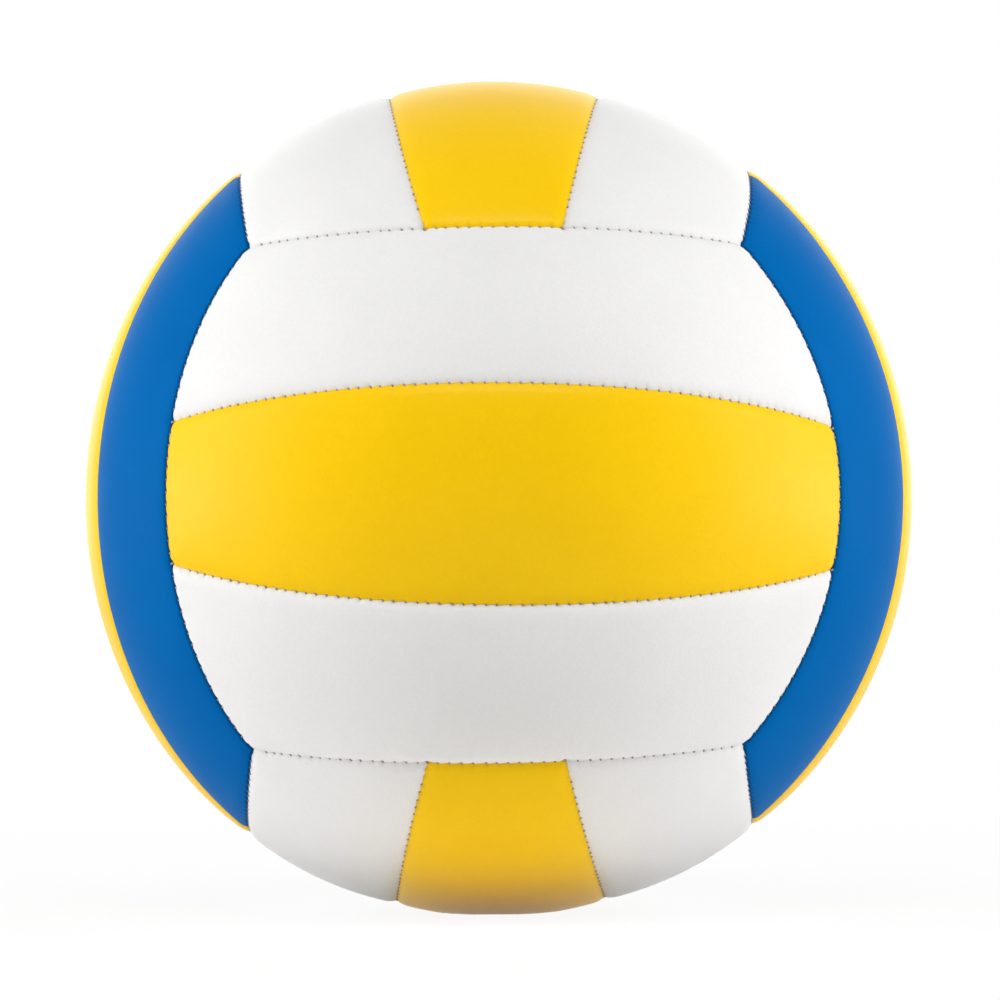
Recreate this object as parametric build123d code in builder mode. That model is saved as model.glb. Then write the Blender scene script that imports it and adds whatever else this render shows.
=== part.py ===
from build123d import *
import os
from math import acos, atan, atan2, cos, degrees, radians, sin, sqrt

# Volleyball of eighteen sewn panels over an inflated rubber bladder.
# The origin is the centre of the ball, +Z is up and the front face looks along -Y.
# Six faces of three strips each wrap the ball like a woven cube.
# All lengths are in millimetres and all angles in degrees.

# Cover
BALL_RADIUS = 105.0
SKIN_THICKNESS = 1.2
FOAM_THICKNESS = 2.4
EDGE_ROLL_RADIUS = 3.0
SEAM_GAP = 0.4
BOND_GAP = 0.1
REST_FLAT_DEPTH = 0.5

# Panel layout: how far the strip seams and the face edges stand from the face's middle
STRIP_HALF_ANGLE = 14.6
FACE_HALF_ANGLE = 38.0
BLANK_MARGIN_ANGLE = 5.0

# Sewing thread, lying in the groove between two rolled edges
THREAD_DIAMETER = 0.8
THREAD_CLEARANCE = 0.1

# Bladder
BLADDER_WALL = 1.0
BLADDER_GAP = 0.3

# Valve housing, a rubber sleeve with a flange bonded inside the bladder
VALVE_HEAD_DIAMETER = 9.0
VALVE_HEAD_RECESS = 0.4
VALVE_HEAD_ROUND = 0.6
VALVE_FLANGE_DIAMETER = 28.0
VALVE_FLANGE_THICKNESS = 1.2
VALVE_SLEEVE_DIAMETER = 11.0
VALVE_SLEEVE_REACH = 13.0
VALVE_END_WALL = 1.6
VALVE_OUTLET_DIAMETER = 3.0
VALVE_CLEARANCE = 0.2

# Valve plug, pressed into the housing
PLUG_DIAMETER = 5.6
PLUG_RECESS = 0.3
PLUG_CLEARANCE = 0.05
NEEDLE_BORE_DIAMETER = 2.2
NEEDLE_BORE_DEPTH = 8.0
NEEDLE_MOUTH_WIDENING = 0.6

OVERRUN = 2.0

# Radii of the layers, from the crown inwards
foam_outer_radius = BALL_RADIUS - SKIN_THICKNESS - BOND_GAP
cover_inner_radius = foam_outer_radius - FOAM_THICKNESS
bladder_outer_radius = cover_inner_radius - BLADDER_GAP
bladder_inner_radius = bladder_outer_radius - BLADDER_WALL
blank_reach = BALL_RADIUS + OVERRUN

# Each face edge is a circle on the ball through two corners of the cube and the edge's middle.
# The walls there lie on a cone with its apex at the centre, so the circle sets its lean and half angle.
corner_share = 1 / sqrt(3)
edge_angle = radians(FACE_HALF_ANGLE)
edge_lean = atan((corner_share - sin(edge_angle)) / (corner_share - cos(edge_angle)))
edge_cone = acos(corner_share * (cos(edge_lean) - sin(edge_lean)))
strip_angle = radians(STRIP_HALF_ANGLE)

# In a face's own frame x runs along the strips, y across them and z outwards
edge_axis = Vector(0, cos(edge_lean), -sin(edge_lean))
edge_away = Vector(0, -sin(edge_lean), -cos(edge_lean))
end_axes = [
    (Vector(-sin(edge_lean), 0, cos(edge_lean)), Vector(-cos(edge_lean), 0, -sin(edge_lean))),
    (Vector(sin(edge_lean), 0, cos(edge_lean)), Vector(cos(edge_lean), 0, -sin(edge_lean))),
]

FACES = {
    "front": (Plane((0, 0, 0), x_dir=(1, 0, 0), z_dir=(0, -1, 0)), "top", "bottom"),
    "back": (Plane((0, 0, 0), x_dir=(-1, 0, 0), z_dir=(0, 1, 0)), "top", "bottom"),
    "left": (Plane((0, 0, 0), x_dir=(0, 0, 1), z_dir=(-1, 0, 0)), "back", "front"),
    "right": (Plane((0, 0, 0), x_dir=(0, 0, 1), z_dir=(1, 0, 0)), "front", "back"),
    "top": (Plane((0, 0, 0), x_dir=(0, 1, 0), z_dir=(0, 0, 1)), "left", "right"),
    "bottom": (Plane((0, 0, 0), x_dir=(0, 1, 0), z_dir=(0, 0, -1)), "right", "left"),
}
VALVE_FACE = "back"
REST_FACE = "bottom"


def half_turn(frame):
    """A face's frame turned half round about its outward axis."""
    return Plane(frame.origin, x_dir=-frame.x_dir, z_dir=frame.z_dir)


def radial_plane(angle):
    """The plane through a strip's long axis that leans by angle from the face's middle."""
    return Plane((0, 0, 0), x_dir=(1, 0, 0), z_dir=(0, -cos(angle), sin(angle)))


def edge_cutter(axis, away, offset, depth):
    """A ring about a face edge's cone axis, to cut the cone's wall, offset from it, into a strip.

    away points from the axis to the far side of the ring, where its profile is drawn.
    The ring lies outside the cone for a positive depth and inside it for a negative one.
    """
    outwards = away * sin(edge_cone) + axis * cos(edge_cone)
    across = away * cos(edge_cone) - axis * sin(edge_cone)
    profile_plane = Plane((0, 0, 0), x_dir=outwards, z_dir=outwards.cross(across))
    side = Align.MIN if depth > 0 else Align.MAX
    with BuildPart() as ring:
        with BuildSketch(profile_plane):
            with Locations((blank_reach / 2, offset)):
                Rectangle(blank_reach / 2, abs(depth), align=(Align.MIN, side))
        revolve(axis=Axis((0, 0, 0), axis))
    return ring.part


def strip_block(low, high, trims, inset, inner_radius, outer_radius, roll):
    """One strip between two radii, kept inset from its seams, with its outer rim rolled over.

    low and high bound the blank that is revolved about the strip's long axis. trims are the
    normals of the radial seams that cut it, and a strip with one trim has a face edge instead
    of the other.
    """
    reach = FACE_HALF_ANGLE - BLANK_MARGIN_ANGLE
    cutters = [edge_cutter(axis, away, -inset, blank_reach / 2) for axis, away in end_axes]
    if len(trims) == 1:
        cutters.append(edge_cutter(edge_axis, edge_away, inset, -blank_reach / 2))
    with BuildPart() as block:
        with BuildSketch(radial_plane(low)):
            with BuildLine():
                outer = CenterArc((0, 0), outer_radius, reach, 180 - 2 * reach)
                inner = CenterArc((0, 0), inner_radius, reach, 180 - 2 * reach)
                Line(outer @ 0, inner @ 0)
                Line(outer @ 1, inner @ 1)
            make_face()
        revolve(axis=Axis((0, 0, 0), (-1, 0, 0)), revolution_arc=degrees(high - low))
        for normal in trims:
            split(bisect_by=Plane(origin=normal * inset, z_dir=normal), keep=Keep.TOP)
        for cutter in cutters:
            add(cutter, mode=Mode.SUBTRACT)
        rim = block.faces().filter_by(GeomType.SPHERE).sort_by(SortBy.AREA)[-1]
        fillet(rim.edges(), roll)
    return block.part


def middle_block(inset, inner_radius, outer_radius, roll):
    """A face's middle strip, between its two strip seams."""
    low_seam = Vector(0, cos(strip_angle), sin(strip_angle))
    high_seam = Vector(0, -cos(strip_angle), sin(strip_angle))
    margin = radians(BLANK_MARGIN_ANGLE)
    low = -strip_angle - margin
    high = strip_angle + margin
    return strip_block(low, high, [low_seam, high_seam], inset, inner_radius, outer_radius, roll)


def side_block(inset, inner_radius, outer_radius, roll):
    """A face's side strip, from a strip seam out to the face's long edge."""
    seam = Vector(0, cos(strip_angle), -sin(strip_angle))
    margin = radians(BLANK_MARGIN_ANGLE)
    low = strip_angle - margin
    high = radians(45) + margin
    return strip_block(low, high, [seam], inset, inner_radius, outer_radius, roll)


# Skins and pads in a face's own frame
skin_inset = SEAM_GAP / 2
pocket_inset = skin_inset + SKIN_THICKNESS
pad_inset = pocket_inset + BOND_GAP
pocket_radius = BALL_RADIUS - SKIN_THICKNESS
pocket_roll = EDGE_ROLL_RADIUS - SKIN_THICKNESS
pad_roll = pocket_roll - BOND_GAP
pocket_floor = cover_inner_radius - OVERRUN

block_makers = {"middle": middle_block, "side": side_block}
skins = {}
pads = {}
for kind, make_block in block_makers.items():
    shell = make_block(skin_inset, cover_inner_radius, BALL_RADIUS, EDGE_ROLL_RADIUS)
    pocket = make_block(pocket_inset, pocket_floor, pocket_radius, pocket_roll)
    with BuildPart() as skin:
        add(shell)
        add(pocket, mode=Mode.SUBTRACT)
    skins[kind] = skin.part
    pads[kind] = make_block(pad_inset, cover_inner_radius, foam_outer_radius, pad_roll)

# The valve's hole through the cover, on the middle strip of one face
valve_hole_radius = VALVE_HEAD_DIAMETER / 2 + VALVE_CLEARANCE

# The ball sits on a small flat where its cover gives under its own weight
rest_plane = Plane.XY.offset(BALL_RADIUS - REST_FLAT_DEPTH)

os.makedirs("parts", exist_ok=True)


def keep_piece(builder, name):
    """Labels a finished piece and writes it to its own file."""
    builder.part.label = name
    export_step(builder.part, f"parts/{name}.step")


# Cover panels and their foam pads
for face, (frame, high_side, low_side) in FACES.items():
    strips = [
        ("middle", "middle", frame),
        (high_side, "side", frame),
        (low_side, "side", half_turn(frame)),
    ]
    for strip, kind, place in strips:
        for suffix, source in (("panel", skins), ("foam", pads)):
            with BuildPart() as strip_piece:
                add(source[kind])
                if strip == "middle" and face == VALVE_FACE:
                    with Locations((0, 0, blank_reach)):
                        Hole(valve_hole_radius, depth=blank_reach - pocket_floor)
                if strip == "middle" and face == REST_FACE:
                    split(bisect_by=rest_plane, keep=Keep.BOTTOM)
            with BuildPart() as piece:
                with Locations(place):
                    add(strip_piece.part)
            keep_piece(piece, f"{face}_{strip}_{suffix}")

# Sewing threads: each touches neither of the two rolled edges that it lies between
thread_radius = THREAD_DIAMETER / 2
roll_centre_radius = BALL_RADIUS - EDGE_ROLL_RADIUS
roll_offset = skin_inset + EDGE_ROLL_RADIUS
roll_reach = EDGE_ROLL_RADIUS + THREAD_CLEARANCE + thread_radius
groove_rise = sqrt(roll_reach**2 - roll_offset**2)
thread_line_radius = sqrt(roll_centre_radius**2 - roll_offset**2) + groove_rise
thread_end_gap = THREAD_DIAMETER + THREAD_CLEARANCE

# Where a strip seam meets the face's end, as an angle from the middle of the seam
end_tilt = atan2(sin(edge_lean), cos(edge_lean) * cos(strip_angle))
end_reach = sqrt(sin(edge_lean) ** 2 + (cos(edge_lean) * cos(strip_angle)) ** 2)
strip_seam_angle = acos(cos(edge_cone) / end_reach) - end_tilt
strip_thread_angle = degrees(strip_seam_angle - thread_end_gap / thread_line_radius)

# Where a face edge meets the cube's corner, as a turn about the edge's own cone axis
edge_middle = Vector(0, sin(edge_angle), cos(edge_angle))
corner = Vector(corner_share, corner_share, corner_share)
across = edge_middle - edge_axis * edge_middle.dot(edge_axis)
along = edge_axis.cross(across)
corner_turn = abs(atan2(corner.dot(along), corner.dot(across)))
edge_thread_angle = degrees(corner_turn - thread_end_gap / (thread_line_radius * sin(edge_cone)))


def seam_thread(middle, axis, half_angle):
    """A thread along an arc about an axis through the centre, through the middle direction."""
    turn_axis = Axis((0, 0, 0), axis)
    start = middle.rotate(turn_axis, -half_angle)
    section = Plane(origin=start * thread_line_radius, x_dir=start, z_dir=axis.cross(start))
    with BuildPart() as thread:
        with BuildSketch(section):
            Circle(thread_radius)
        revolve(axis=turn_axis, revolution_arc=2 * half_angle)
    return thread.part


strip_middle = Vector(0, sin(strip_angle), cos(strip_angle))
strip_normal = Vector(0, cos(strip_angle), -sin(strip_angle))
strip_thread = seam_thread(strip_middle, strip_normal, strip_thread_angle)
edge_thread = seam_thread(edge_middle, edge_axis, edge_thread_angle)

for face, (frame, high_side, low_side) in FACES.items():
    with BuildPart() as strip_threads:
        with Locations(frame, half_turn(frame)):
            add(strip_thread)
    keep_piece(strip_threads, f"{face}_strip_threads")
    for side, place in ((high_side, frame), (low_side, half_turn(frame))):
        with BuildPart() as face_edge_thread:
            with Locations(place):
                add(edge_thread)
        keep_piece(face_edge_thread, f"{face}_{side}_edge_thread")

# Bladder, a rubber sphere with a hole for the valve's sleeve
valve_frame = FACES[VALVE_FACE][0]
valve_profile_plane = Plane((0, 0, 0), x_dir=valve_frame.x_dir, z_dir=-valve_frame.y_dir)
valve_axis = Axis((0, 0, 0), valve_frame.z_dir)

with BuildPart() as bladder:
    with BuildSketch(valve_profile_plane):
        with BuildLine():
            outside = CenterArc((0, 0), bladder_outer_radius, -90, 180)
            inside = CenterArc((0, 0), bladder_inner_radius, -90, 180)
            Line(outside @ 0, inside @ 0)
            Line(outside @ 1, inside @ 1)
        make_face()
    revolve(axis=valve_axis)
    with Locations(valve_frame.offset(blank_reach)):
        Hole(valve_hole_radius, depth=blank_reach)
keep_piece(bladder, "bladder")

# Valve housing: a head flush with the cover, a flange under the bladder and a sleeve for the plug
valve_head_top = BALL_RADIUS - VALVE_HEAD_RECESS
flange_radius = bladder_inner_radius - BOND_GAP
flange_floor_radius = flange_radius - VALVE_FLANGE_THICKNESS
sleeve_end = flange_floor_radius - VALVE_SLEEVE_REACH
plug_radius = PLUG_DIAMETER / 2
pocket_end = sleeve_end + VALVE_END_WALL

with BuildPart() as valve_housing:
    with Locations(valve_frame.offset(sleeve_end)):
        Cylinder(
            VALVE_HEAD_DIAMETER / 2,
            valve_head_top - sleeve_end,
            align=(Align.CENTER, Align.CENTER, Align.MIN),
        )
    fillet(valve_housing.edges().group_by(valve_axis)[-1], VALVE_HEAD_ROUND)
    with BuildSketch(valve_profile_plane):
        flange_half_angle = degrees(VALVE_FLANGE_DIAMETER / 2 / flange_radius)
        with BuildLine():
            flange_top = CenterArc((0, 0), flange_radius, 90 - flange_half_angle, flange_half_angle)
            flange_floor = CenterArc((0, 0), flange_floor_radius, 90 - flange_half_angle, flange_half_angle)
            Line(flange_top @ 0, flange_floor @ 0)
            Line(flange_top @ 1, flange_floor @ 1)
        make_face()
    revolve(axis=valve_axis)
    with Locations(valve_frame.offset(sleeve_end)):
        Cylinder(
            VALVE_SLEEVE_DIAMETER / 2,
            VALVE_SLEEVE_REACH,
            align=(Align.CENTER, Align.CENTER, Align.MIN),
        )
    with Locations(valve_frame.offset(blank_reach)):
        Hole(plug_radius + PLUG_CLEARANCE, depth=blank_reach - pocket_end)
        Hole(VALVE_OUTLET_DIAMETER / 2, depth=blank_reach - sleeve_end + OVERRUN)
keep_piece(valve_housing, "valve_housing")

# Valve plug with the needle's blind lead-in
plug_top = valve_head_top - PLUG_RECESS
plug_bottom = pocket_end + PLUG_CLEARANCE
with BuildPart() as valve_plug:
    with Locations(valve_frame.offset(plug_bottom)):
        Cylinder(
            plug_radius,
            plug_top - plug_bottom,
            align=(Align.CENTER, Align.CENTER, Align.MIN),
        )
    with Locations(valve_frame.offset(plug_top)):
        Hole(NEEDLE_BORE_DIAMETER / 2, depth=NEEDLE_BORE_DEPTH)
    mouth = valve_plug.edges().filter_by(GeomType.CIRCLE).group_by(valve_axis)[-1].sort_by(SortBy.RADIUS)[0]
    chamfer(mouth, NEEDLE_MOUTH_WIDENING)
keep_piece(valve_plug, "valve_plug")
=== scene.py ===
from math import acos, atan, atan2, cos, pi, radians, sin, sqrt

import bpy
import numpy as np
from mathutils import Matrix, Vector


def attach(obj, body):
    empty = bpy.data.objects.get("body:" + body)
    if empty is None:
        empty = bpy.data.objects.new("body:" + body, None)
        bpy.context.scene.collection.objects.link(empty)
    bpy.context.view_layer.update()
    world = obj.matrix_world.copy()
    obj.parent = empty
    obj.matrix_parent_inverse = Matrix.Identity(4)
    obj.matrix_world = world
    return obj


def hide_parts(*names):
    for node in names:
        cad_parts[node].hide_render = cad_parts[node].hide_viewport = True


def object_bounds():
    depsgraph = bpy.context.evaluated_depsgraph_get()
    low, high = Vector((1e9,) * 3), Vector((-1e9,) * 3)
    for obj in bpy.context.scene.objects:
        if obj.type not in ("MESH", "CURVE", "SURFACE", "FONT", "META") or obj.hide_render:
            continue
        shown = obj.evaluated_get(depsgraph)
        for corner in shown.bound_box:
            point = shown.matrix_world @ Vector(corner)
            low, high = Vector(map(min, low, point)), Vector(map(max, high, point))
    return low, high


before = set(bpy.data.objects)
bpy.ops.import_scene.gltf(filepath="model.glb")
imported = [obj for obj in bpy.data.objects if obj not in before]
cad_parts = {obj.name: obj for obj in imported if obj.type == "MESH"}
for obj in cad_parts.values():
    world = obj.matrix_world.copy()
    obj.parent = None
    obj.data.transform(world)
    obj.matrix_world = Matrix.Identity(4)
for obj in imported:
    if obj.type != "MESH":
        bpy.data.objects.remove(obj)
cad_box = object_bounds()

# All lengths are in metres and all angles in radians
MM = 0.001

# The ball and its panel layout
BALL_RADIUS = 105.0 * MM
COVER_THICKNESS = 3.7 * MM
STRIP_HALF_ANGLE = radians(14.6)
FACE_HALF_ANGLE = radians(38.0)
CROWN_RISE = 0.45 * MM

# How this ball departs from a true one, in angles and shares of its radius. Seen from the front its
# outline has a few lobes. The sewn cover is twisted about z, most at the equator, tilted to one side
# there, spread away from the equator at its left and right, and drawn out and down at its upper right
# corner. These pulls fade out behind the ball's sides, so that the cover lies true about the valve.
LOBE_SHARES = {2: -0.005, 3: 0.003, 4: -0.0025}
BAND_TURN = radians(1.5)
BAND_TURN_LEVEL = 0.6
BAND_TILT = 0.016
BAND_TILT_LEVEL = 0.53
SIDE_SPREAD = 0.075
CORNER_PULL = 0.095
CORNER_DROP_SHARE = 0.5
CORNER_LEVEL = 0.7
CORNER_REACH = 0.12
FADE_START = -0.1
FADE_END = 0.4

# How a panel's edge rolls down into a seam
ROLL_RADIUS = 8.0 * MM
ROLL_WIDTH = 3.2 * MM
CROWN_DROP = 0.6 * MM
CROWN_WIDTH = 9.0 * MM
LIP_GAP = 0.01 * MM
ROLL_NORM = 4
JUNCTION_DEPTH = 0.5 * MM
JUNCTION_WIDTH = 1.3 * MM

# Stitches, the pits and saw-toothed edges that they pull, and the seeds of their unevenness
STITCH_PITCH = 2.8 * MM
PIT_DEPTH = 0.28 * MM
PIT_LENGTH = 0.5 * MM
PIT_WIDTH = 0.6 * MM
SAW_SHIFT = 0.1 * MM
SAW_WIDTH = 1.6 * MM
SAW_BITE_SHARE = 0.35
STITCH_JITTER_SHARE = 0.07
STITCH_STRENGTH_SHARE = 0.175
THREAD_RADIUS = 0.25 * MM
STITCH_HALF_WIDTH = 0.48 * MM
STITCH_SLANT = 0.15 * MM
STITCH_ARCH = 0.32 * MM
STITCH_LIFT = 0.1 * MM
STITCH_RINGS = 7
STITCH_SIDES = 8
STRIP_END_CLEARANCE = 6.0 * MM
EDGE_END_CLEARANCE = 2.5 * MM
FACE_SEED_STEP = 10
EDGE_SEED_START = 100

# Panel meshes: points along the sides, and rings from the seam inwards
LONG_POINTS = 400
SHORT_POINTS = 112
RING_INSETS = [inset * MM for inset in (0, 0.1, 0.25, 0.5, 0.8, 1.15, 1.6, 2.2, 3.0, 4.2, 6.0)]
BRIDGE_INSET = 7.6 * MM
GRID_INSET = 10.0 * MM
BRIDGE_RATIO = 4
GRID_RATIO = 2

# Valve hole in the cover
VALVE_HOLE_RADIUS = 4.7 * MM
VALVE_HOLE_ROLL = 0.7 * MM
VALVE_BLOCK_CELLS = 4
VALVE_RINGS = [reach * MM for reach in (3.0, 1.6, 0.7, 0.4, 0.2, 0.07, 0)]
VALVE_NODES = ("back_middle_panel",)

# Leather: features to the metre, shares of the grain's height, and how far the painted shade darkens
# the grain's creases and the seams
PEBBLE_SCALE = 1500.0
PEBBLE_SPAN = (0.1, 0.7)
PEBBLE_SHARE = 0.7
FINE_GRAIN_SCALE = 3200.0
FINE_GRAIN_SHARE = 0.4
WRINKLE_SCALES = (900.0, 45.0, 1.0)
WRINKLE_SHARE = 0.45
GRAIN_STRENGTH = 0.13
GRAIN_DEPTH = 0.25 * MM
TONE_SCALE = 38.0
LEATHER_DETAIL = 3.0
LEATHER_ROUGHNESS = (0.33, 0.42)
PAINTED_CREASE_SHADE = 0.06
PAINTED_CREASE_SHADE_SHARE = 0.5
PAINTED_SEAM_SHADE_WIDTH = 0.9 * MM
PAINTED_SEAM_SHADE_SHARE = 0.2
NOISE_SPAN = (0.3, 0.7)

# Thread and rubber
THREAD_COLOUR = (0.40, 0.34, 0.315)
THREAD_SHADE = (0.27, 0.225, 0.205)
FIBRE_SCALE = 6000.0
FIBRE_STRENGTH = 0.5
FIBRE_DEPTH = 0.1 * MM
THREAD_ROUGHNESS = 0.8
BLOOM_SCALE = 260.0
BLOOM_SPAN = (0.35, 0.7)
BLOOM_DETAIL = 4.0
BLOOM_ROUGHNESS = 0.06
GRIT_SCALE = 2600.0
GRIT_STRENGTH = 0.25
GRIT_DEPTH = 0.1 * MM

# Studio sweep: a floor that curves up into a wall, and how far the ball's shadow shows on it
SWEEP_WIDTH = 9.0
SWEEP_FRONT = -3.5
SWEEP_BACK = 2.4
SWEEP_CURVE = 1.2
SWEEP_HEIGHT = 4.5
SWEEP_STEPS = 24
SHADOW_REACH = 0.2
SHADOW_END = 3 * SHADOW_REACH
SHADOW_GLOW_SHARE = 0.92
PAPER_COLOUR = (0.96, 0.96, 0.96, 1)
WHITE = (1, 1, 1, 1)
WORLD_LIGHT = 0.03

# Camera: a long lens, level with the ball and a little below its centre
CAMERA_DISTANCE = 1.439
CAMERA_LENS = 204.1
CAMERA_AZIMUTH = radians(0.36)
CAMERA_ELEVATION = radians(-0.7)
CAMERA_ROLL = radians(-0.38)
SENSOR_WIDTH = 36.0
SHIFT_X = 0.0024
SHIFT_Y = -0.001

# Face frames: x along the strips, z outwards, and the names of the sides towards +y and -y
FACES = {
    "front": ((1, 0, 0), (0, -1, 0), "top", "bottom"),
    "back": ((-1, 0, 0), (0, 1, 0), "top", "bottom"),
    "left": ((0, 0, 1), (-1, 0, 0), "back", "front"),
    "right": ((0, 0, 1), (1, 0, 0), "front", "back"),
    "top": ((0, 1, 0), (0, 0, 1), "left", "right"),
    "bottom": ((0, 1, 0), (0, 0, -1), "right", "left"),
}
BLUE_FACES = ("left", "right")

# Each face edge is a circle on the ball through two cube corners and the edge's middle
CORNER_SHARE = 1 / sqrt(3)
edge_lean = atan((CORNER_SHARE - sin(FACE_HALF_ANGLE)) / (CORNER_SHARE - cos(FACE_HALF_ANGLE)))
edge_cone = acos(CORNER_SHARE * (cos(edge_lean) - sin(edge_lean)))
end_tilt = atan2(sin(edge_lean), cos(edge_lean) * cos(STRIP_HALF_ANGLE))
end_reach = sqrt(sin(edge_lean) ** 2 + (cos(edge_lean) * cos(STRIP_HALF_ANGLE)) ** 2)
strip_end_angle = acos(cos(edge_cone) / end_reach) - end_tilt


def unit(vectors):
    """Vectors scaled to length one."""
    return vectors / np.linalg.norm(vectors, axis=-1, keepdims=True)


def face_axes(face, turned=False):
    """A face's x, y and z directions as rows, turned half round about z for its -y side strip."""
    x_dir, z_dir = (np.array(direction, float) for direction in FACES[face][:2])
    if turned:
        x_dir = -x_dir
    return np.array([x_dir, np.cross(z_dir, x_dir), z_dir])


class Seam:
    """A sewn line: a circle on the ball about an axis, with stitches counted from its middle."""

    def __init__(self, axis, cone, middle, half_turn, seed):
        self.axis = axis
        self.cone = cone
        self.out = unit(middle - axis * middle.dot(axis))
        self.side = np.cross(axis, self.out)
        self.half_turn = half_turn
        self.radius = BALL_RADIUS * sin(cone)
        self.count = int(round(2 * half_turn * self.radius / STITCH_PITCH))
        self.pitch = 2 * half_turn / self.count
        random = np.random.default_rng(seed)
        self.shift = random.normal(0, STITCH_JITTER_SHARE, self.count)
        self.strength = 1 + random.normal(0, STITCH_STRENGTH_SHARE, self.count)

    def point(self, turn):
        """Directions on the seam at an angle from its middle."""
        turn = np.asarray(turn, float)[..., None]
        around = np.cos(turn) * self.out + np.sin(turn) * self.side
        return cos(self.cone) * self.axis + sin(self.cone) * around

    def turn(self, points):
        """The angle along the seam of directions near it."""
        return np.arctan2(points @ self.side, points @ self.out)

    def distance(self, points):
        """Signed distance from the seam on the ball, growing away from its axis."""
        return (np.arccos(np.clip(points @ self.axis, -1, 1)) - self.cone) * BALL_RADIUS

    def away(self, points):
        """The direction on the ball's surface that leads away from the seam's axis."""
        return -unit(self.axis - points * (points @ self.axis)[:, None])

    def stitch_turns(self):
        """The angles of the stitches, each a little out of place."""
        index = np.arange(self.count)
        return (index + 0.5 + self.shift) * self.pitch - self.half_turn

    def stitch_pull(self, points):
        """How strongly the nearest stitch pulls, and the saw-toothed run between stitches."""
        place = (self.turn(points) + self.half_turn) / self.pitch
        index = np.clip(np.floor(place).astype(int), 0, self.count - 1)
        offset = (place - index - 0.5 - self.shift[index]) * self.pitch * self.radius
        pull = self.strength[index] * np.exp(-((offset / PIT_LENGTH) ** 2))
        wave = 2 * pi * (offset / STITCH_PITCH)
        saw = np.sin(wave) + SAW_BITE_SHARE * np.sin(2 * wave)
        return pull, saw * self.strength[index]


def make_seams():
    """The twelve strip seams and twelve edge seams, by node name."""
    strip = {}
    edge = {}
    strip_normal = np.array([0, cos(STRIP_HALF_ANGLE), -sin(STRIP_HALF_ANGLE)])
    strip_middle = np.array([0, sin(STRIP_HALF_ANGLE), cos(STRIP_HALF_ANGLE)])
    edge_axis = np.array([0, cos(edge_lean), -sin(edge_lean)])
    edge_middle = np.array([0, sin(FACE_HALF_ANGLE), cos(FACE_HALF_ANGLE)])
    corner = np.full(3, CORNER_SHARE)
    across = unit(edge_middle - edge_axis * edge_middle.dot(edge_axis))
    corner_turn = abs(atan2(corner.dot(np.cross(edge_axis, across)), corner.dot(across)))
    for number, (face, (_, _, high, low)) in enumerate(FACES.items()):
        for turned, side in ((False, high), (True, low)):
            axes = face_axes(face, turned)
            seed = FACE_SEED_STEP * number + turned
            middle = strip_middle @ axes
            strip[face, side] = Seam(strip_normal @ axes, pi / 2, middle, strip_end_angle, seed)
            seed += EDGE_SEED_START
            middle = edge_middle @ axes
            edge[face, side] = Seam(edge_axis @ axes, edge_cone, middle, corner_turn, seed)
    return strip, edge


strip_seams, edge_seams = make_seams()
seam_ends = [seam.point(seam.half_turn * end) for seam in strip_seams.values() for end in (-1, 1)]
seam_ends += [np.array([x, y, z]) * CORNER_SHARE for x in (-1, 1) for y in (-1, 1) for z in (-1, 1)]


def seam_about(axis):
    """The edge seam that runs about an axis."""
    return max(edge_seams.values(), key=lambda seam: seam.axis.dot(axis))


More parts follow.
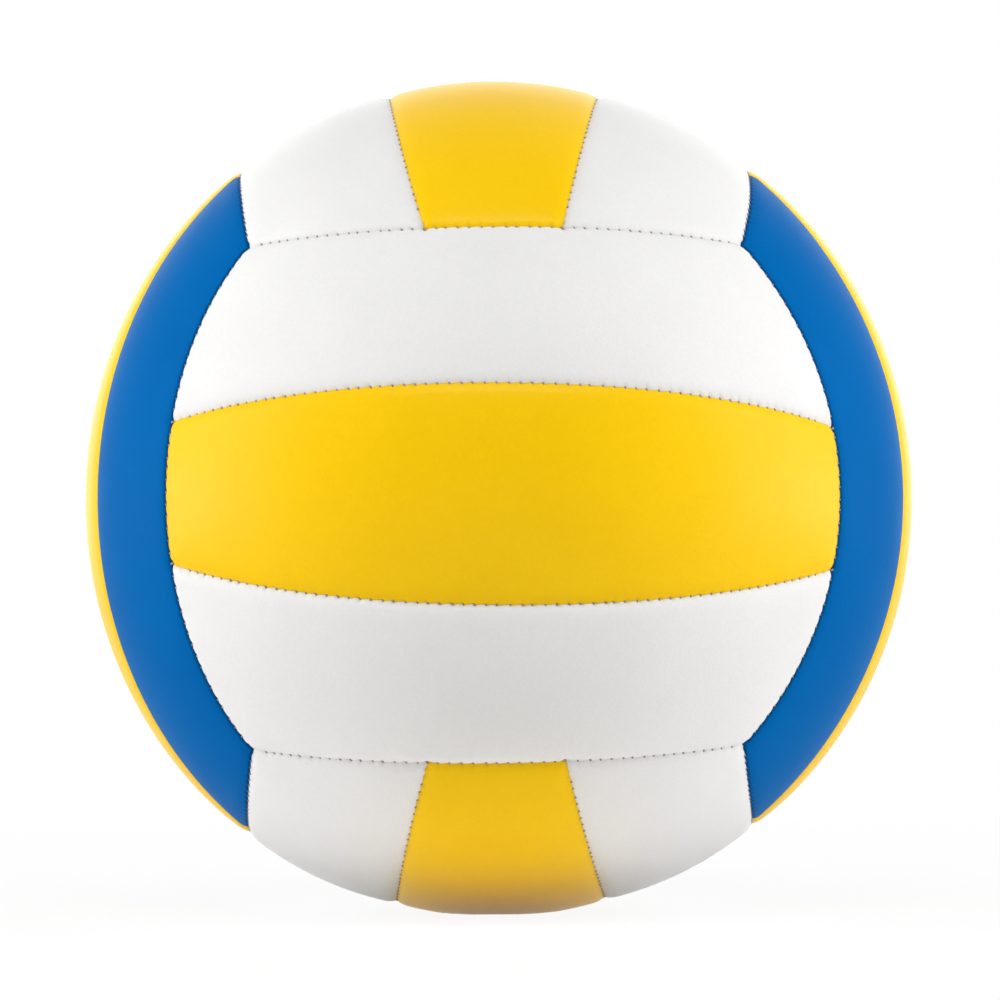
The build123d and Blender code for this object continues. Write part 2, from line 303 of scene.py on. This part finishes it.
class Patch:
    """A panel's region of the ball, between four seams, laid out on s and t from 0 to 1."""

    def __init__(self, face, strip):
        high, low = FACES[face][2:]
        turned = strip == low
        axes = face_axes(face, turned)
        lean_in = np.array([-sin(edge_lean), 0, cos(edge_lean)])
        ends = [seam_about((lean_in * (-1, 1, 1)) @ axes), seam_about(lean_in @ axes)]
        side = low if turned else high
        if strip == "middle":
            sides = [strip_seams[face, low], strip_seams[face, high]]
            angles = [-STRIP_HALF_ANGLE, STRIP_HALF_ANGLE]
            corners = [self.strip_corner(sign, angle) for angle in angles for sign in (-1, 1)]
        else:
            sides = [strip_seams[face, side], edge_seams[face, side]]
            corners = [self.strip_corner(sign, STRIP_HALF_ANGLE) for sign in (-1, 1)]
            corners += [np.array([sign, 1, 1]) * CORNER_SHARE for sign in (-1, 1)]
        self.corners = [corner @ axes for corner in corners]
        self.seams = [*sides, *ends]
        self.centre = unit(sum(self.corners))
        self.signs = [np.sign(seam.distance(self.centre)) for seam in self.seams]
        pairs = ((0, 1), (2, 3), (0, 2), (1, 3))
        self.turns = []
        for seam, pair in zip(self.seams, pairs):
            self.turns.append([seam.turn(self.corners[end]) for end in pair])
        self.spans = [abs(b - a) * seam.radius for seam, (a, b) in zip(self.seams, self.turns)]
        self.axes = axes
        self.size = np.array([self.length_at(0.5), self.width_at(0.5)])

    @staticmethod
    def strip_corner(sign, angle):
        """Where a strip seam at an angle from the face's middle meets the face's end."""
        run = cos(strip_end_angle)
        return np.array([sign * sin(strip_end_angle), run * sin(angle), run * cos(angle)])

    def side_point(self, number, share):
        """Points along one side, from its first corner to its second."""
        first, last = self.turns[number]
        return self.seams[number].point(first + (last - first) * share)

    def length_at(self, t):
        """The panel's length along s."""
        return (1 - t) * self.spans[0] + t * self.spans[1]

    def width_at(self, s):
        """The panel's width along t."""
        return np.linalg.norm(self.side_point(1, s) - self.side_point(0, s), axis=-1) * BALL_RADIUS

    def inset_places(self, a, b, inset):
        """Places on s and t for shares a and b of the region a distance in from the sides."""
        s_edge = inset / self.length_at(b)
        s = s_edge + a * (1 - 2 * s_edge)
        t_edge = inset / self.width_at(s)
        return np.column_stack([s, t_edge + b * (1 - 2 * t_edge)])

    def directions(self, places):
        """Directions for places on s and t, blended between the four sides."""
        s, t = places[:, 0], places[:, 1]
        s_col, t_col = s[:, None], t[:, None]
        low_left, low_right, high_left, high_right = self.corners
        along = (1 - t_col) * self.side_point(0, s) + t_col * self.side_point(1, s)
        across = (1 - s_col) * self.side_point(2, t) + s_col * self.side_point(3, t)
        low = (1 - s_col) * low_left + s_col * low_right
        high = (1 - s_col) * high_left + s_col * high_right
        return unit(along + across - (1 - t_col) * low - t_col * high)


class Layout:
    """Points on s and t and faces over them: rings that follow the sides, then a coarser grid."""

    def __init__(self, patch, insets, hole):
        self.patch = patch
        self.places = []
        self.faces = []
        self.hole = []
        self.hole_rings = []
        rings = [self.add(self.rim(inset, 1)) for inset in insets]
        for outer, inner in zip(rings, rings[1:]):
            self.band(outer, inner)
        self.outline = rings[0]
        bridge = self.add(self.rim(BRIDGE_INSET, BRIDGE_RATIO))
        self.fan(rings[-1], bridge, BRIDGE_RATIO)
        self.grid(bridge, hole)

    def add(self, points):
        """Adds points and gives their numbers."""
        start = sum(len(group) for group in self.places)
        self.places.append(np.asarray(points, float))
        return list(range(start, start + len(points)))

    def rim(self, inset, ratio):
        """Points round the patch, a distance in from its sides, with every ratio-th kept."""
        along = np.arange(0, 1, ratio / LONG_POINTS)
        across = np.arange(0, 1, ratio / SHORT_POINTS)
        a = np.concatenate([along, np.ones_like(across), 1 - along, np.zeros_like(across)])
        b = np.concatenate([np.zeros_like(along), across, np.ones_like(along), 1 - across])
        return self.patch.inset_places(a, b, inset)

    def band(self, outer, inner):
        """Quads between two rings of as many points."""
        count = len(outer)
        for i in range(count):
            j = (i + 1) % count
            self.faces.append((outer[i], outer[j], inner[j], inner[i]))

    def fan(self, outer, inner, ratio):
        """Triangles from a ring to one inside it with fewer points."""
        count = len(outer)
        for k, first in enumerate(inner):
            second = inner[(k + 1) % len(inner)]
            fine = [outer[(k * ratio + i) % count] for i in range(ratio + 1)]
            half = ratio // 2
            for i in range(half):
                self.faces.append((fine[i], fine[i + 1], first))
            self.faces.append((fine[half], second, first))
            for i in range(half, ratio):
                self.faces.append((fine[i], fine[i + 1], second))

    def grid(self, bridge, hole):
        """The grid that fills the middle, with a round hole through its centre if asked for."""
        columns = LONG_POINTS // BRIDGE_RATIO // GRID_RATIO
        rows = SHORT_POINTS // BRIDGE_RATIO // GRID_RATIO
        mid_i = columns // 2
        mid_j = rows // 2
        reach = VALVE_BLOCK_CELLS if hole else 0
        number = {}
        points = []
        for j in range(rows + 1):
            for i in range(columns + 1):
                if max(abs(i - mid_i), abs(j - mid_j)) >= reach:
                    number[i, j] = len(points)
                    points.append((i / columns, j / rows))
        indices = self.add(self.patch.inset_places(*np.array(points).T, GRID_INSET))
        at = {cell: indices[place] for cell, place in number.items()}
        for j in range(rows):
            for i in range(columns):
                cell = [(i, j), (i + 1, j), (i + 1, j + 1), (i, j + 1)]
                if max(abs(i + 0.5 - mid_i), abs(j + 0.5 - mid_j)) > reach:
                    self.faces.append(tuple(at[corner] for corner in cell))
        self.fan(bridge, self.square(at, 0, columns, 0, rows), GRID_RATIO)
        if hole:
            block = self.square(at, mid_i - reach, mid_i + reach, mid_j - reach, mid_j + reach)
            self.cut_hole(block)

    @staticmethod
    def square(at, left, right, low, high):
        """The grid's points round a block of cells."""
        path = [(i, low) for i in range(left, right)]
        path += [(right, j) for j in range(low, high)]
        path += [(i, high) for i in range(right, left, -1)]
        path += [(left, j) for j in range(high, low, -1)]
        return [at[cell] for cell in path]

    def cut_hole(self, block):
        """Rings from a block of the grid in to the valve's hole, with twice as many points."""
        x_dir, y_dir, z_dir = self.patch.axes
        corner = self.patch.directions(np.vstack(self.places)[block[:1]])[0]
        count = 2 * len(block)
        angles = atan2(corner @ y_dir, corner @ x_dir) + 2 * pi * np.arange(count) / count
        circle = np.column_stack([np.cos(angles), np.sin(angles)])
        rings = []
        for reach in VALVE_RINGS:
            radius = VALVE_HOLE_RADIUS + reach
            rings.append(self.add(0.5 + circle * radius / self.patch.size))
            turn = radius / BALL_RADIUS
            ring = cos(turn) * z_dir + sin(turn) * circle @ self.patch.axes[:2]
            self.hole_rings.append((rings[-1], ring))
        first = rings[0]
        for k, corner in enumerate(block):
            following = block[(k + 1) % len(block)]
            a, b, c = (first[(2 * k + i) % count] for i in range(3))
            self.faces += [(corner, b, a), (corner, following, b), (following, c, b)]
        for outer, inner in zip(rings, rings[1:]):
            self.band(outer, inner)
        self.hole = rings[-1][::-1]

    def all_places(self):
        """Every point's place on s and t."""
        return np.vstack(self.places)

    def directions(self):
        """Every point's direction, with the rings round the hole made truly round."""
        directions = self.patch.directions(self.all_places())
        for indices, ring in self.hole_rings:
            directions[indices] = ring
        return directions


def roll_drop(distance, radius, width):
    """How far a rolled edge falls below the crown at a distance from the seam."""
    inside = np.clip(width - distance, 0, width)
    return radius - np.sqrt(radius**2 - inside**2)


def ball_shape(directions):
    """The ball's radius in each direction: a little taller than wide, and not quite round."""
    turn = directions[:, 0] + 1j * directions[:, 2]
    share = sum(size * (turn**lobes).real for lobes, size in LOBE_SHARES.items())
    return BALL_RADIUS * (1 + share) + CROWN_RISE


def pulled(points):
    """Points moved along the ball, as its sewn cover is pulled out of true."""
    radii = np.linalg.norm(points, axis=1, keepdims=True)
    directions = points / radii
    x, y, z = directions.T
    turn = BAND_TURN * (1 - (z / BAND_TURN_LEVEL) ** 2) * (1 - z**2)
    tilt = BAND_TILT * (1 - (z / BAND_TILT_LEVEL) ** 2)
    corner = CORNER_PULL * np.maximum(x, 0) ** 3 * np.exp(-(((z - CORNER_LEVEL) / CORNER_REACH) ** 2))
    lift = SIDE_SPREAD * x**2 * z - tilt * x - CORNER_DROP_SHARE * corner
    push = np.column_stack([corner - turn * y, turn * x, lift])
    fade = np.clip((FADE_END - y) / (FADE_END - FADE_START), 0, 1)
    fade = fade**2 * (3 - 2 * fade)
    return unit(directions + fade[:, None] * push) * radii


def panel_surface(patch, directions, hole):
    """Points of a panel's outer surface, and each one's distance from the nearest seam."""
    rolls = []
    crowns = []
    nearest = np.full(len(directions), BALL_RADIUS)
    shift = np.zeros_like(directions)
    for seam, sign in zip(patch.seams, patch.signs):
        distance = np.maximum(sign * seam.distance(directions), 0)
        pull, saw = seam.stitch_pull(directions)
        pit = PIT_DEPTH * pull * np.exp(-((distance / PIT_WIDTH) ** 2))
        rolls.append(roll_drop(distance, ROLL_RADIUS, ROLL_WIDTH) + pit)
        crowns.append(CROWN_DROP * np.exp(-distance / CROWN_WIDTH))
        nearest = np.minimum(nearest, distance)
        near = np.exp(-((distance / SAW_WIDTH) ** 2))
        sideways = (SAW_SHIFT * saw + sign * LIP_GAP) * near
        shift += seam.away(directions) * sideways[:, None]
    drop = sum(roll**ROLL_NORM for roll in rolls) ** (1 / ROLL_NORM) + np.maximum.reduce(crowns)
    for junction in seam_ends:
        gap = np.linalg.norm(directions - junction, axis=1) * BALL_RADIUS
        drop += JUNCTION_DEPTH * np.exp(-((gap / JUNCTION_WIDTH) ** 2))
    if hole:
        out = np.linalg.norm(directions - patch.centre, axis=1) * BALL_RADIUS - VALVE_HOLE_RADIUS
        drop += roll_drop(np.maximum(out, 0), VALVE_HOLE_ROLL, VALVE_HOLE_ROLL)
    radii = ball_shape(directions) - drop
    return unit(directions + shift / BALL_RADIUS) * radii[:, None], nearest


def rest_on_floor(points, floor):
    """Flattens what would reach below the floor."""
    points[:, 2] = np.maximum(points[:, 2], floor)
    return points


def new_object(name, points, faces, material):
    """A smooth-shaded mesh object."""
    mesh = bpy.data.meshes.new(name)
    mesh.from_pydata(points.tolist(), [], faces)
    mesh.materials.append(material)
    mesh.shade_smooth()
    piece = bpy.data.objects.new(name, mesh)
    bpy.context.scene.collection.objects.link(piece)
    return piece


def build_panel(face, strip, material):
    """A padded panel: its crowned skin, its turned-in walls and its inner face, as one closed form."""
    name = f"{face}_{strip}_panel"
    hole = name in VALVE_NODES
    patch = Patch(face, strip)
    outer = Layout(patch, RING_INSETS, hole)
    inner = Layout(patch, [0, RING_INSETS[-1]], hole)
    outer_points, nearest = panel_surface(patch, outer.directions(), hole)
    inner_points = inner.directions() * (BALL_RADIUS - COVER_THICKNESS)
    rim = [*inner.outline, *inner.hole]
    over = [*outer.outline, *outer.hole]
    inner_points[rim] = unit(outer_points[over]) * (BALL_RADIUS - COVER_THICKNESS)
    start = len(outer_points)
    faces = list(outer.faces)
    faces += [tuple(start + corner for corner in reversed(polygon)) for polygon in inner.faces]
    for top, base in ((outer.outline, inner.outline), (outer.hole, inner.hole)):
        for i in range(len(top)):
            j = (i + 1) % len(top)
            faces.append((top[j], top[i], start + base[i], start + base[j]))
    points = rest_on_floor(pulled(np.vstack([outer_points, inner_points])), cad_box[0][2])
    piece = new_object(f"{name}_cover", points, faces, material)
    places = np.vstack([outer.all_places(), inner.all_places()]) * patch.size
    layer = piece.data.uv_layers.new(name="strip")
    corners = np.empty(len(piece.data.loops), int)
    piece.data.loops.foreach_get("vertex_index", corners)
    layer.uv.foreach_set("vector", places[corners].ravel())
    # The distance from the nearest seam, which drives the leather's painted seam shade
    seam = piece.data.attributes.new("seam", "FLOAT", "POINT")
    seam.data.foreach_set("value", np.concatenate([nearest, np.zeros(len(inner_points))]))
    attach(piece, "root")
    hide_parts(name, f"{face}_{strip}_foam")


def stitch_mesh(seam, end_clearance):
    """Points and faces of a seam's stitches: short slanted loops of thread across the groove."""
    steps = np.linspace(-1, 1, STITCH_RINGS)
    around = 2 * pi * np.arange(STITCH_SIDES) / STITCH_SIDES
    seam_depth = roll_drop(0, ROLL_RADIUS, ROLL_WIDTH) + CROWN_DROP
    turns = seam.stitch_turns()
    limit = seam.half_turn - end_clearance / seam.radius
    points = []
    faces = []
    for turn in turns[np.abs(turns) < limit]:
        up = seam.point(turn)
        across = seam.away(up[None])[0]
        along = np.cross(up, across)
        base = up * (ball_shape(up[None])[0] - seam_depth - STITCH_LIFT)
        reach = across * STITCH_HALF_WIDTH + along * STITCH_SLANT
        level = np.cross(up, unit(reach))
        start = len(points)
        for step in steps:
            middle = base + step * reach - up * STITCH_ARCH * step**2
            for angle in around:
                points.append(middle + THREAD_RADIUS * (cos(angle) * level + sin(angle) * up))
        sides = len(around)
        for ring in range(len(steps) - 1):
            for i in range(sides):
                j = (i + 1) % sides
                low = start + ring * sides
                faces.append((low + i, low + j, low + sides + j, low + sides + i))
        faces.append(tuple(start + i for i in reversed(range(sides))))
        last = start + (len(steps) - 1) * sides
        faces.append(tuple(last + i for i in range(sides)))
    return points, faces


def build_stitches(name, node, seams, end_clearance, material):
    """One thread node's stitches, as one piece."""
    points = []
    faces = []
    for seam in seams:
        seam_points, seam_faces = stitch_mesh(seam, end_clearance)
        faces += [tuple(len(points) + corner for corner in polygon) for polygon in seam_faces]
        points += seam_points
    piece = new_object(name, pulled(np.array(points)), faces, material)
    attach(piece, "root")
    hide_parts(node)


class Nodes:
    """Short calls for building a material's node tree."""

    def __init__(self, name):
        self.material = bpy.data.materials.new(name)
        self.material.use_nodes = True
        self.tree = self.material.node_tree
        self.tree.nodes.clear()

    def add(self, kind, values=None, **settings):
        """A node with its settings, and its inputs set from values or linked from sockets."""
        node = self.tree.nodes.new(kind)
        for key, value in settings.items():
            setattr(node, key, value)
        for key, value in (values or {}).items():
            if isinstance(value, bpy.types.NodeSocket):
                self.tree.links.new(value, node.inputs[key])
            else:
                node.inputs[key].default_value = value
        return node

    def math(self, operation, first, second):
        """Two values joined by an operation."""
        return self.add("ShaderNodeMath", {0: first, 1: second}, operation=operation).outputs[0]

    def ramp(self, factor, low, high, out_low=0.0, out_high=1.0):
        """A value mapped from one span to another and clamped."""
        values = {"Value": factor, "From Min": low, "From Max": high}
        values |= {"To Min": out_low, "To Max": out_high}
        return self.add("ShaderNodeMapRange", values).outputs[0]

    def mix(self, factor, first, second):
        """Two colours mixed. The mix node keeps its colours at its sockets 6 and 7 and its output 2."""
        values = {0: factor, 6: first, 7: second}
        return self.add("ShaderNodeMix", values, data_type="RGBA").outputs[2]

    def place(self):
        """The place on the object, in metres."""
        return self.add("ShaderNodeTexCoord").outputs["Object"]

    def noise(self, place, scale, detail=2.0):
        """Cloudy noise, with about so many features to each unit of the place."""
        values = {"Vector": place, "Scale": scale, "Detail": detail}
        return self.add("ShaderNodeTexNoise", values).outputs[0]

    def bump(self, height, strength, distance):
        """A surface direction roughened by a height."""
        values = {"Height": height, "Strength": strength, "Distance": distance}
        return self.add("ShaderNodeBump", values).outputs[0]

    def surface(self, values):
        """The material, with a plain shaded surface."""
        return self.finish(self.add("ShaderNodeBsdfPrincipled", values).outputs[0])

    def finish(self, shader):
        """The material, with a shader as its surface."""
        self.add("ShaderNodeOutputMaterial", {"Surface": shader})
        return self.material


def solid(colour, share=1):
    """A colour, or a darker share of it, with full cover."""
    return (*(share * value for value in colour), 1)


def leather(name, colour, shade, gloss, painted_seam_shade):
    """Satin synthetic leather: pebbled grain with painted shade in its creases, faint cross wrinkles,
    and painted shade darkening it towards the seams.
    """
    nodes = Nodes(name)
    place = nodes.place()
    strip = nodes.add("ShaderNodeUVMap", uv_map="strip").outputs[0]
    seam = nodes.add("ShaderNodeAttribute", attribute_name="seam").outputs["Fac"]
    pebbles = {"Vector": place, "Scale": PEBBLE_SCALE}
    cells = nodes.add("ShaderNodeTexVoronoi", pebbles, feature="SMOOTH_F1").outputs["Distance"]
    fine = nodes.noise(place, FINE_GRAIN_SCALE, LEATHER_DETAIL)
    broad = nodes.noise(place, TONE_SCALE, LEATHER_DETAIL)
    stretched = nodes.add("ShaderNodeMapping", {"Vector": strip, "Scale": WRINKLE_SCALES}).outputs[0]
    wrinkle = nodes.noise(stretched, 1.0)
    grain = nodes.math("MULTIPLY", cells, PEBBLE_SHARE)
    grain = nodes.math("ADD", grain, nodes.math("MULTIPLY", fine, FINE_GRAIN_SHARE))
    grain = nodes.math("ADD", grain, nodes.math("MULTIPLY", wrinkle, WRINKLE_SHARE))
    tone = nodes.ramp(broad, *NOISE_SPAN)
    surface = nodes.mix(tone, solid(colour), solid(shade))
    # Painted shade: the colour darkens a little in the hollows of the pebbled grain, where shade would
    # fall
    painted_crease_shade = nodes.ramp(cells, *PEBBLE_SPAN, PAINTED_CREASE_SHADE, 0.0)
    surface = nodes.mix(painted_crease_shade, surface, solid(colour, PAINTED_CREASE_SHADE_SHARE))
    # Painted shade: the colour darkens towards each seam, standing in for the shade in the seam's
    # groove
    groove = nodes.ramp(seam, 0.0, PAINTED_SEAM_SHADE_WIDTH, painted_seam_shade, 0.0)
    surface = nodes.mix(groove, surface, solid(colour, PAINTED_SEAM_SHADE_SHARE))
    values = {"Base Color": surface, "Specular IOR Level": gloss}
    values["Roughness"] = nodes.ramp(fine, *NOISE_SPAN, *LEATHER_ROUGHNESS)
    values["Normal"] = nodes.bump(grain, GRAIN_STRENGTH, GRAIN_DEPTH)
    return nodes.surface(values)


def thread_fibre(name, colour, shade):
    """Twisted sewing thread."""
    nodes = Nodes(name)
    fibres = nodes.noise(nodes.place(), FIBRE_SCALE)
    surface = nodes.mix(nodes.ramp(fibres, *NOISE_SPAN), solid(colour), solid(shade))
    bump = nodes.bump(fibres, FIBRE_STRENGTH, FIBRE_DEPTH)
    return nodes.surface({"Base Color": surface, "Roughness": THREAD_ROUGHNESS, "Normal": bump})


def rubber(name, colour, shade, roughness):
    """Moulded rubber with a dusty bloom."""
    nodes = Nodes(name)
    place = nodes.place()
    bloom = nodes.noise(place, BLOOM_SCALE, BLOOM_DETAIL)
    surface = nodes.mix(nodes.ramp(bloom, *BLOOM_SPAN), solid(colour), solid(shade))
    rough = nodes.ramp(bloom, *NOISE_SPAN, roughness - BLOOM_ROUGHNESS, roughness + BLOOM_ROUGHNESS)
    bump = nodes.bump(nodes.noise(place, GRIT_SCALE), GRIT_STRENGTH, GRIT_DEPTH)
    return nodes.surface({"Base Color": surface, "Roughness": rough, "Normal": bump})


def backdrop_white(name):
    """Pale studio paper: near white to the camera, and still shaded by the ball's shadow."""
    nodes = Nodes(name)
    paths = nodes.add("ShaderNodeLightPath").outputs
    seen = nodes.math("MAXIMUM", paths["Is Camera Ray"], paths["Is Glossy Ray"])
    seen = nodes.math("MAXIMUM", seen, paths["Is Transmission Ray"])
    paper = nodes.add("ShaderNodeBsdfDiffuse", {"Color": PAPER_COLOUR}).outputs[0]
    glow = nodes.add("ShaderNodeEmission", {"Color": WHITE, "Strength": 1.0}).outputs[0]
    reach = nodes.add("ShaderNodeVectorMath", {0: nodes.place()}, operation="LENGTH").outputs["Value"]
    level = nodes.ramp(reach, SHADOW_REACH, SHADOW_END, SHADOW_GLOW_SHARE, 1.0)
    share = nodes.math("MULTIPLY", seen, level)
    return nodes.finish(nodes.add("ShaderNodeMixShader", {0: share, 1: paper, 2: glow}).outputs[0])


# Cover panels: each leather has its colour, a darker shade of it, its gloss and how far the painted
# seam shade darkens it
LEATHERS = {
    "white_leather": ((0.80, 0.795, 0.79), (0.775, 0.77, 0.765), 0.03, 0.055),
    "yellow_leather": ((0.92, 0.565, 0.002), (0.895, 0.545, 0.001), 0.10, 0.07),
    "blue_leather": ((0.001, 0.122, 0.395), (0.001, 0.114, 0.375), 0.006, 0.9),
}
leathers = {name: leather(name, *values) for name, values in LEATHERS.items()}
for face, (_, _, high, low) in FACES.items():
    side_slot = "blue_leather" if face in BLUE_FACES else "white_leather"
    for strip in (high, "middle", low):
        slot = "yellow_leather" if strip == "middle" else side_slot
        build_panel(face, strip, leathers[slot])

# Stitching
thread = thread_fibre("sewing_thread", THREAD_COLOUR, THREAD_SHADE)
for face, (_, _, high, low) in FACES.items():
    pair = [strip_seams[face, high], strip_seams[face, low]]
    build_stitches(f"{face}_strip_stitches", f"{face}_strip_threads", pair, STRIP_END_CLEARANCE, thread)
    for side in (high, low):
        name = f"{face}_{side}_edge"
        seam = [edge_seams[face, side]]
        build_stitches(f"{name}_stitches", f"{name}_thread", seam, EDGE_END_CLEARANCE, thread)

# Bladder and valve keep their solids
FINISHES = {
    "bladder": rubber("bladder_rubber", (0.03, 0.03, 0.032), (0.06, 0.06, 0.06), 0.6),
    "valve_housing": rubber("valve_rubber", (0.035, 0.034, 0.033), (0.07, 0.068, 0.066), 0.55),
    "valve_plug": rubber("plug_rubber", (0.02, 0.02, 0.02), (0.045, 0.044, 0.043), 0.5),
}
for node, material in FINISHES.items():
    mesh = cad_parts[node].data
    mesh.materials.clear()
    mesh.materials.append(material)

# Lamps: soft boxes at both sides, high in front and behind the ball, and low ones near the floor.
# Each has its place in metres, its width and height, and its power in watts.
LAMPS = {
    "left_box": ((-1.45, -0.15, 0.35), (0.9, 1.1), 10.2),
    "right_box": ((1.45, -0.15, 0.35), (0.9, 1.1), 10.2),
    "left_high_box": ((-1.4, -0.4, 0.95), (1.0, 0.8), 4.0),
    "right_high_box": ((1.4, -0.4, 0.95), (1.0, 0.8), 4.0),
    "left_back_box": ((-1.4, 0.6, 0.2), (0.8, 0.8), 1.0),
    "right_back_box": ((1.4, 0.6, 0.2), (0.8, 0.8), 1.0),
    "left_low_box": ((-0.9, 0.0, -0.02), (0.8, 0.16), 1.6),
    "right_low_box": ((0.9, 0.0, -0.02), (0.8, 0.16), 1.6),
    "front_box": ((0.0, -0.95, 1.35), (1.2, 0.5), 16.4),
    "front_low_box": ((0.0, -1.9, -0.02), (1.6, 0.15), 0.9),
    "back_box": ((0.0, 1.9, 0.5), (2.2, 1.2), 10.0),
}


def build_sweep():
    """The floor and the wall behind, as one curved sheet."""
    floor = cad_box[0][2]
    profile = [(SWEEP_FRONT, floor)]
    for step in range(SWEEP_STEPS + 1):
        angle = pi / 2 * step / SWEEP_STEPS
        profile.append((SWEEP_BACK + SWEEP_CURVE * sin(angle), floor + SWEEP_CURVE * (1 - cos(angle))))
    profile.append((SWEEP_BACK + SWEEP_CURVE, floor + SWEEP_HEIGHT))
    points = [(side * SWEEP_WIDTH / 2, y, z) for y, z in profile for side in (-1, 1)]
    faces = [(2 * i, 2 * i + 1, 2 * i + 3, 2 * i + 2) for i in range(len(profile) - 1)]
    sweep = new_object("studio_sweep", np.array(points), faces, backdrop_white("studio_paper"))


def build_lamp(name, place, size, power):
    """A soft box that faces the ball."""
    lamp = bpy.data.lights.new(name, "AREA")
    lamp.shape = "RECTANGLE"
    lamp.size, lamp.size_y = size
    lamp.energy = power
    holder = bpy.data.objects.new(name, lamp)
    holder.location = place
    holder.rotation_euler = (-Vector(place)).to_track_quat("-Z", "Y").to_euler()
    bpy.context.scene.collection.objects.link(holder)


def build_world():
    """A dim even sky, which is white to the camera and in reflections."""
    world = bpy.data.worlds.new("studio")
    bpy.context.scene.world = world
    world.use_nodes = True
    sky = world.node_tree
    paths = sky.nodes.new("ShaderNodeLightPath").outputs
    seen = paths["Is Camera Ray"]
    for ray in ("Is Glossy Ray", "Is Transmission Ray"):
        either = sky.nodes.new("ShaderNodeMath")
        either.operation = "MAXIMUM"
        sky.links.new(seen, either.inputs[0])
        sky.links.new(paths[ray], either.inputs[1])
        seen = either.outputs[0]
    level = sky.nodes.new("ShaderNodeMapRange")
    level.inputs["To Min"].default_value = WORLD_LIGHT
    sky.links.new(seen, level.inputs["Value"])
    background = sky.nodes["Background"].inputs
    sky.links.new(level.outputs[0], background["Strength"])
    background["Color"].default_value = WHITE


def build_camera():
    """The camera at the photographed viewing angle."""
    level = cos(CAMERA_ELEVATION)
    aside = sin(CAMERA_AZIMUTH) * level
    ahead = cos(CAMERA_AZIMUTH) * level
    towards = Vector((aside, -ahead, sin(CAMERA_ELEVATION)))
    data = bpy.data.cameras.new("camera")
    data.sensor_width = SENSOR_WIDTH
    data.lens = CAMERA_LENS
    data.shift_x = SHIFT_X
    data.shift_y = SHIFT_Y
    camera = bpy.data.objects.new("camera", data)
    place = Matrix.Translation(towards * CAMERA_DISTANCE)
    look = (-towards).to_track_quat("-Z", "Y").to_matrix().to_4x4()
    camera.matrix_world = place @ look @ Matrix.Rotation(CAMERA_ROLL, 4, "Z")
    bpy.context.scene.collection.objects.link(camera)
    bpy.context.scene.camera = camera


build_sweep()
for name, (place, size, power) in LAMPS.items():
    build_lamp(name, place, size, power)
build_world()
build_camera()
bpy.context.scene.view_settings.view_transform = "Standard"
